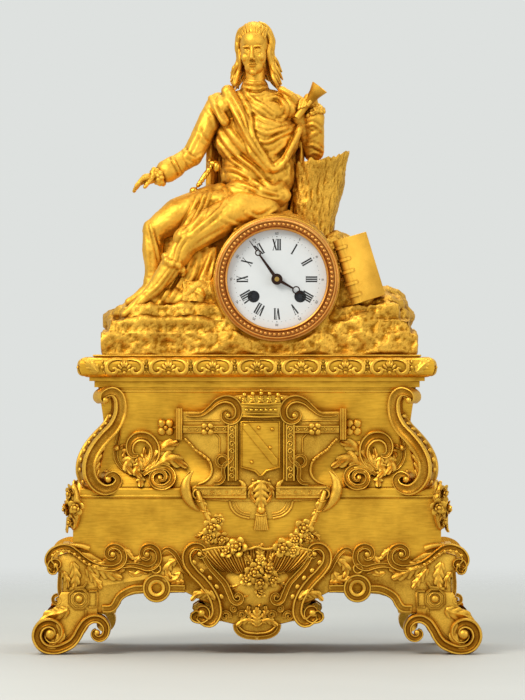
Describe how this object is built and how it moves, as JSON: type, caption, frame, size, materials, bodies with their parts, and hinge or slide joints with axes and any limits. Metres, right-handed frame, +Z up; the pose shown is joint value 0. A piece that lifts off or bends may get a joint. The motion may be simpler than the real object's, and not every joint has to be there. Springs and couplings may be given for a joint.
{
  "type": "mantel clock",
  "caption": "Figural mantel clock: seated gentleman on a rocky terrace over a waisted scroll-footed case, with a round striking movement.",
  "frame": {"origin": "on the floor, under the middle of the case", "axes": "+Z up; the dial faces -Y; +X to the right seen from the front"},
  "size_m": [0.357, 0.1505, 0.51],
  "materials": {
    "gilt_bronze": "fire-gilt bronze, burnished on the plain fields and matt on the grounds",
    "bezel_gilding": "worn lacquered brass",
    "enamel": "white vitreous enamel on copper",
    "browned_steel": "browned and polished",
    "steel": "polished",
    "spring_steel": "tempered blue",
    "bell_metal": "turned bell metal",
    "movement_brass": "polished brass"
  },
  "bodies": {
    "case": {"lower_plinth": "gilt_bronze", "apron_front": "gilt_bronze", "apron_back": "gilt_bronze", "apron_left": "gilt_bronze", "apron_right": "gilt_bronze", "centre_shell": "gilt_bronze", "upper_body": "gilt_bronze", "cornice": "gilt_bronze", "front_consoles": "gilt_bronze", "back_consoles": "gilt_bronze", "flower_drops": "gilt_bronze", "cartouche": "gilt_bronze", "shield": "gilt_bronze", "coronet": "gilt_bronze", "acanthus_mounts": "gilt_bronze", "garland": "gilt_bronze", "terrace": "gilt_bronze", "tie_rods": "steel", "stump": "gilt_bronze", "book": "gilt_bronze", "figure_body": "gilt_bronze", "figure_head": "gilt_bronze", "figure_right_arm": "gilt_bronze", "figure_left_arm": "gilt_bronze", "rolled_paper": "gilt_bronze", "figure_legs": "gilt_bronze", "front_plate": "movement_brass", "back_plate": "movement_brass", "movement_straps": "steel", "bezel": "bezel_gilding", "dial": "enamel", "back_bezel": "movement_brass", "suspension_cock": "movement_brass", "bell": "bell_metal", "bell_stand": "movement_brass", "clicks": "steel"},
    "door": {"back_door": "movement_brass"},
    "centre_arbor": {"centre_wheel": "movement_brass"},
    "minute": {"minute_hand": "browned_steel", "cannon_pinion": "movement_brass"},
    "dial_work": {"minute_wheel": "movement_brass"},
    "hour": {"hour_hand": "browned_steel", "hour_wheel": "movement_brass"},
    "going_drum": {"going_barrel": "movement_brass", "going_mainspring": "spring_steel"},
    "going_winding": {"going_arbor": "steel"},
    "intermediate": {"intermediate_wheel": "movement_brass"},
    "third": {"third_wheel": "movement_brass"},
    "escape": {"escape_wheel": "movement_brass"},
    "anchor": {"anchor": "steel"},
    "pendulum": {"pendulum": "movement_brass"},
    "strike_drum": {"strike_barrel": "movement_brass", "strike_mainspring": "spring_steel"},
    "strike_winding": {"strike_arbor": "steel"},
    "second": {"strike_wheel": "movement_brass"},
    "pin": {"pin_wheel": "movement_brass"},
    "warning": {"warning_wheel": "movement_brass"},
    "fly": {"fly": "movement_brass"},
    "hammer": {"hammer": "steel"},
    "regulation": {"regulation_arbor": "steel"}
  },
  "joints": [
    {"name": "minute_turn", "type": "hinge", "parent": "case", "child": "minute", "pos_m": [0.016, 0, 0.301], "axis": [0, 1, 0], "continuous": true},
    {"name": "dial_work_turn", "type": "hinge", "parent": "case", "child": "dial_work", "pos_m": [0.016, 0, 0.289], "axis": [0, 1, 0], "continuous": true},
    {"name": "hour_turn", "type": "hinge", "parent": "case", "child": "hour", "pos_m": [0.016, 0, 0.301], "axis": [0, 1, 0], "continuous": true},
    {"name": "third_turn", "type": "hinge", "parent": "case", "child": "third", "pos_m": [0.01078, 0, 0.31361], "axis": [0, 1, 0], "continuous": true},
    {"name": "centre_turn", "type": "hinge", "parent": "case", "child": "centre_arbor", "pos_m": [0.016, 0, 0.301], "axis": [0, 1, 0], "continuous": true},
    {"name": "intermediate_turn", "type": "hinge", "parent": "case", "child": "intermediate", "pos_m": [0.02921, 0, 0.30563], "axis": [0, 1, 0], "continuous": true},
    {"name": "going_drum_turn", "type": "hinge", "parent": "case", "child": "going_drum", "pos_m": [0.0348, 0, 0.2871], "axis": [0, 1, 0], "continuous": true},
    {"name": "escape_turn", "type": "hinge", "parent": "case", "child": "escape", "pos_m": [0.016, 0, 0.3232], "axis": [0, 1, 0], "continuous": true},
    {"name": "going_winding_turn", "type": "hinge", "parent": "case", "child": "going_winding", "pos_m": [0.0348, 0, 0.2871], "axis": [0, 1, 0], "continuous": true},
    {"name": "pendulum_swing", "type": "hinge", "parent": "case", "child": "pendulum", "pos_m": [0.016, 0, 0.335], "axis": [0, 1, 0], "range_deg": [-3.5, 3.5]},
    {"name": "anchor_rock", "type": "hinge", "parent": "case", "child": "anchor", "pos_m": [0.016, 0, 0.335], "axis": [0, 1, 0], "range_deg": [-3.5, 3.5]},
    {"name": "warning_turn", "type": "hinge", "parent": "case", "child": "warning", "pos_m": [0.0068, 0, 0.32386], "axis": [0, 1, 0], "continuous": true},
    {"name": "pin_turn", "type": "hinge", "parent": "case", "child": "pin", "pos_m": [-0.00143, 0, 0.3181], "axis": [0, 1, 0], "continuous": true},
    {"name": "second_turn", "type": "hinge", "parent": "case", "child": "second", "pos_m": [-0.008, 0, 0.30574], "axis": [0, 1, 0], "continuous": true},
    {"name": "strike_drum_turn", "type": "hinge", "parent": "case", "child": "strike_drum", "pos_m": [-0.0028, 0, 0.2871], "axis": [0, 1, 0], "continuous": true},
    {"name": "fly_turn", "type": "hinge", "parent": "case", "child": "fly", "pos_m": [0.00529, 0, 0.33244], "axis": [0, 1, 0], "continuous": true},
    {"name": "strike_winding_turn", "type": "hinge", "parent": "case", "child": "strike_winding", "pos_m": [-0.0028, 0, 0.2871], "axis": [0, 1, 0], "continuous": true},
    {"name": "regulation_turn", "type": "hinge", "parent": "case", "child": "regulation", "pos_m": [0.016, 0, 0.3426], "axis": [0, 1, 0], "continuous": true},
    {"name": "hammer_swing", "type": "hinge", "parent": "case", "child": "hammer", "pos_m": [-0.01, 0, 0.274], "axis": [0, 1, 0], "range_deg": [-12, 0]},
    {"name": "door_swing", "type": "hinge", "parent": "case", "child": "door", "pos_m": [0.0665, 0.0545, 0.301], "axis": [0, 0, -1], "range_deg": [0, 110]}
  ],
  "couplings": [
    {"joint": "dial_work_turn", "follows": "minute_turn", "ratio": -0.33333},
    {"joint": "hour_turn", "follows": "minute_turn", "ratio": 0.083333},
    {"joint": "centre_turn", "follows": "third_turn", "ratio": -0.083333},
    {"joint": "intermediate_turn", "follows": "third_turn", "ratio": 0.011905},
    {"joint": "going_drum_turn", "follows": "third_turn", "ratio": -0.0014881},
    {"joint": "escape_turn", "follows": "third_turn", "ratio": -11},
    {"joint": "anchor_rock", "follows": "pendulum_swing", "ratio": 1},
    {"joint": "pin_turn", "follows": "warning_turn", "ratio": -0.11667},
    {"joint": "second_turn", "follows": "warning_turn", "ratio": 0.012963},
    {"joint": "strike_drum_turn", "follows": "warning_turn", "ratio": -0.0016204},
    {"joint": "fly_turn", "follows": "warning_turn", "ratio": -8.5714}
  ]
}
